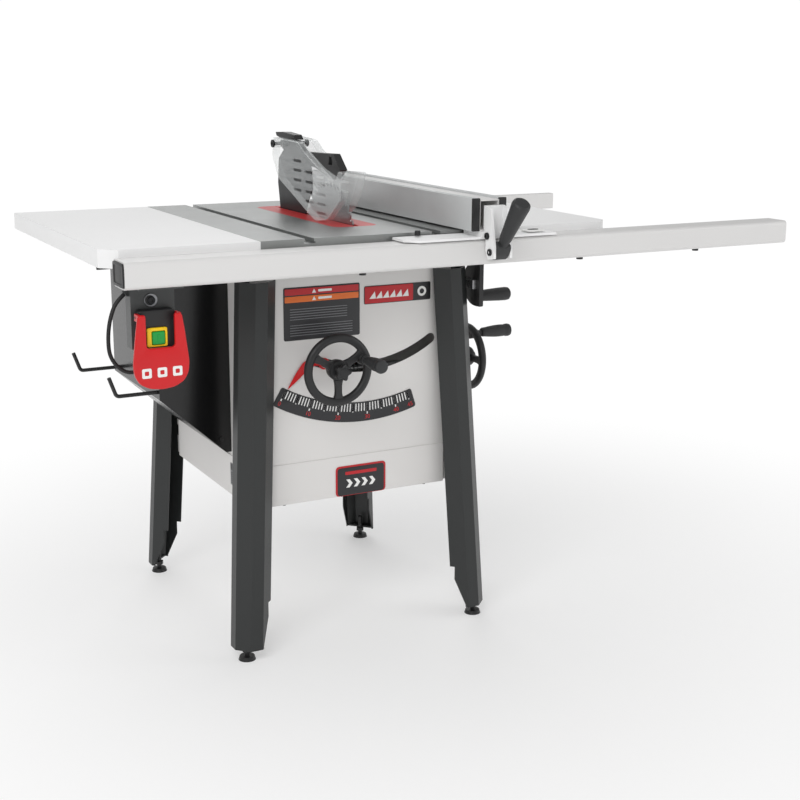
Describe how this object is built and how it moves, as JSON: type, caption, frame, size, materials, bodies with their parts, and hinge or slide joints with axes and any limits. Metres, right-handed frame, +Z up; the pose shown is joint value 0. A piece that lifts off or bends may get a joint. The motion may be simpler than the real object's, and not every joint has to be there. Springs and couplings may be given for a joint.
{
  "type": "table saw",
  "caption": "Floor-standing table saw with fence, guard, tilting and rising blade, handwheels and hinged stop paddle.",
  "frame": {"origin": "floor level under the middle of the whole saw's floor plan", "axes": "+X along the fence rails to the operator's right, +Y away from the operator, +Z up"},
  "size_m": [1.5544, 0.9008, 1.046],
  "materials": {
    "charcoal_paint": "satin powder coat",
    "cabinet_grey": "satin powder coat",
    "cover_black": "satin powder coat",
    "cast_iron": "ground",
    "wing_grey": "fine texture powder coat",
    "rail_grey": "satin",
    "cast_grey": "as cast",
    "steel": "brushed",
    "dark_steel": "black oxide",
    "motor_black": "gloss paint",
    "black_plastic": "fine grain",
    "yellow_plastic": "gloss",
    "red_plastic": "gloss",
    "green_plastic": "gloss",
    "clear_plastic": "clear",
    "red_paint": "satin",
    "rubber": "matt",
    "label_dark": "satin print",
    "aluminium": "satin anodised",
    "zinc": "zinc plated"
  },
  "bodies": {
    "stand": {"leg_front_left": "charcoal_paint", "leg_front_right": "charcoal_paint", "leg_rear_left": "charcoal_paint", "leg_rear_right": "charcoal_paint", "levelling_feet": "zinc", "front_panel": "cabinet_grey", "left_panel": "cabinet_grey", "right_panel": "cabinet_grey", "rear_panel": "cabinet_grey", "apron_panels": "cabinet_grey", "dust_chute": "cabinet_grey", "motor_cover": "cover_black", "storage_brackets": "zinc", "table_top": "cast_iron", "left_wing": "wing_grey", "right_wing": "wing_grey", "throat_insert": "red_paint", "front_rail": "rail_grey", "rail_end_caps": "black_plastic", "rear_rail": "rail_grey", "front_plates": "label_dark", "switch_bracket": "cover_black", "switch_box": "yellow_plastic", "switch_cord": "rubber", "trunnion_brackets": "cast_grey", "fasteners": "zinc"},
    "trunnion": {"trunnion_cradle": "cast_grey", "tilt_pointer": "red_paint"},
    "carriage": {"arbor_carriage": "cast_grey", "arbor_bearings": "steel", "motor": "motor_black", "drive_belt": "rubber", "riving_knife": "dark_steel", "guard_arm": "black_plastic"},
    "arbor": {"arbor_shaft": "steel", "saw_blade": "steel", "blade_nut": "zinc", "arbor_pulley": "aluminium"},
    "motor_rotor": {"motor_pulley": "aluminium"},
    "lift_screw": {"lift_screw": "steel"},
    "raise_drive": {"raise_shaft": "steel", "raise_wheel": "black_plastic"},
    "raise_grip": {"raise_grip": "black_plastic"},
    "raise_knob": {"raise_knob": "black_plastic"},
    "tilt_drive": {"tilt_shaft": "steel", "tilt_wheel": "black_plastic"},
    "tilt_grip": {"tilt_grip": "black_plastic"},
    "left_bush": {"left_shield_bush": "black_plastic"},
    "left_washer": {"left_shield_washer": "black_plastic"},
    "left_shield": {"left_shield": "clear_plastic"},
    "right_bush": {"right_shield_bush": "black_plastic"},
    "right_shield": {"right_shield": "clear_plastic"},
    "fence": {"fence_beam": "aluminium", "fence_head": "wing_grey", "fence_fittings": "black_plastic"},
    "fence_lever": {"fence_lever": "black_plastic"},
    "stop_paddle": {"stop_paddle": "red_plastic"},
    "start_button": {"start_button": "green_plastic"},
    "mitre_bar": {"mitre_bar": "steel"},
    "mitre_head": {"mitre_head": "black_plastic"}
  },
  "joints": [
    {"name": "blade_tilt", "type": "hinge", "parent": "stand", "child": "trunnion", "pos_m": [-0.1996, 0.0146, 0.872], "axis": [0, -1, 0], "range_deg": [0, 45]},
    {"name": "blade_height", "type": "slide", "parent": "trunnion", "child": "carriage", "axis": [0, 0, 1], "range_m": [-0.081, 0]},
    {"name": "arbor_spin", "type": "hinge", "parent": "carriage", "child": "arbor", "pos_m": [-0.1996, 0.0146, 0.824], "axis": [1, 0, 0], "continuous": true},
    {"name": "motor_spin", "type": "hinge", "parent": "carriage", "child": "motor_rotor", "pos_m": [-0.3176, 0.1796, 0.662], "axis": [1, 0, 0], "continuous": true},
    {"name": "raise_wheel_turn", "type": "hinge", "parent": "trunnion", "child": "raise_drive", "pos_m": [-0.29258, -0.2204, 0.59731], "axis": [0, 1, 0], "range_deg": [-1445, 5]},
    {"name": "lift_screw_turn", "type": "hinge", "parent": "trunnion", "child": "lift_screw", "pos_m": [-0.29258, -0.03839, 0.63731], "axis": [0, 0, 1], "range_deg": [-1445, 5]},
    {"name": "raise_grip_spin", "type": "hinge", "parent": "raise_drive", "child": "raise_grip", "pos_m": [-0.23742, -0.24039, 0.61523], "axis": [0, 1, 0], "continuous": true},
    {"name": "raise_lock_turn", "type": "hinge", "parent": "raise_drive", "child": "raise_knob", "pos_m": [-0.29258, -0.24039, 0.59731], "axis": [0, 1, 0], "range_deg": [-90, 0]},
    {"name": "tilt_wheel_turn", "type": "hinge", "parent": "stand", "child": "tilt_drive", "pos_m": [0.1004, -0.06839, 0.56], "axis": [1, 0, 0], "range_deg": [-5, 1085]},
    {"name": "tilt_grip_spin", "type": "hinge", "parent": "tilt_drive", "child": "tilt_grip", "pos_m": [0.1304, -0.08632, 0.61516], "axis": [1, 0, 0], "continuous": true},
    {"name": "left_bush_turn", "type": "hinge", "parent": "carriage", "child": "left_bush", "pos_m": [-0.2106, 0.2196, 1.022], "axis": [-1, 0, 0], "range_deg": [-1, 35]},
    {"name": "left_washer_turn", "type": "hinge", "parent": "left_bush", "child": "left_washer", "pos_m": [-0.2176, 0.2196, 1.022], "axis": [-1, 0, 0], "range_deg": [-1, 26]},
    {"name": "left_shield_lift", "type": "hinge", "parent": "left_washer", "child": "left_shield", "pos_m": [-0.2296, 0.2196, 1.022], "axis": [-1, 0, 0], "range_deg": [0, 45]},
    {"name": "right_bush_turn", "type": "hinge", "parent": "carriage", "child": "right_bush", "pos_m": [-0.1886, 0.2196, 1.022], "axis": [-1, 0, 0], "range_deg": [-1, 33]},
    {"name": "right_shield_lift", "type": "hinge", "parent": "right_bush", "child": "right_shield", "pos_m": [-0.1696, 0.2196, 1.022], "axis": [-1, 0, 0], "range_deg": [0, 45]},
    {"name": "fence_slide", "type": "slide", "parent": "stand", "child": "fence", "axis": [1, 0, 0], "range_m": [-0.1, 0.6]},
    {"name": "fence_lever_lift", "type": "hinge", "parent": "fence", "child": "fence_lever", "pos_m": [-0.0016, -0.3574, 0.837], "axis": [-1, 0, 0], "range_deg": [-35, 0]},
    {"name": "stop_paddle_swing", "type": "hinge", "parent": "stand", "child": "stop_paddle", "pos_m": [-0.6896, -0.2914, 0.752], "axis": [-1, 0, 0], "range_deg": [0, 60]},
    {"name": "start_button_press", "type": "slide", "parent": "stand", "child": "start_button", "axis": [0, 1, 0], "range_m": [0, 0.003], "stiffness_N_per_m": 600, "springref_m": -0.0005},
    {"name": "mitre_slide", "type": "slide", "parent": "stand", "child": "mitre_bar", "axis": [0, 1, 0], "range_m": [-0.2, 0]},
    {"name": "mitre_head_turn", "type": "hinge", "parent": "mitre_bar", "child": "mitre_head", "pos_m": [0.0524, -0.1604, 0.742], "axis": [1, 0, 0], "range_deg": [-60, 60]}
  ],
  "couplings": [
    {"joint": "motor_spin", "follows": "arbor_spin", "ratio": 0.8},
    {"joint": "raise_wheel_turn", "follows": "blade_height", "rad_per_m": 310.28},
    {"joint": "lift_screw_turn", "follows": "blade_height", "rad_per_m": 310.28},
    {"joint": "tilt_wheel_turn", "follows": "blade_tilt", "ratio": 24},
    {"joint": "left_bush_turn", "follows": "blade_height", "rad_per_m": -7.3261},
    {"joint": "right_bush_turn", "follows": "blade_height", "rad_per_m": -6.8951},
    {"joint": "left_washer_turn", "follows": "blade_tilt", "ratio": 0.5556}
  ]
}
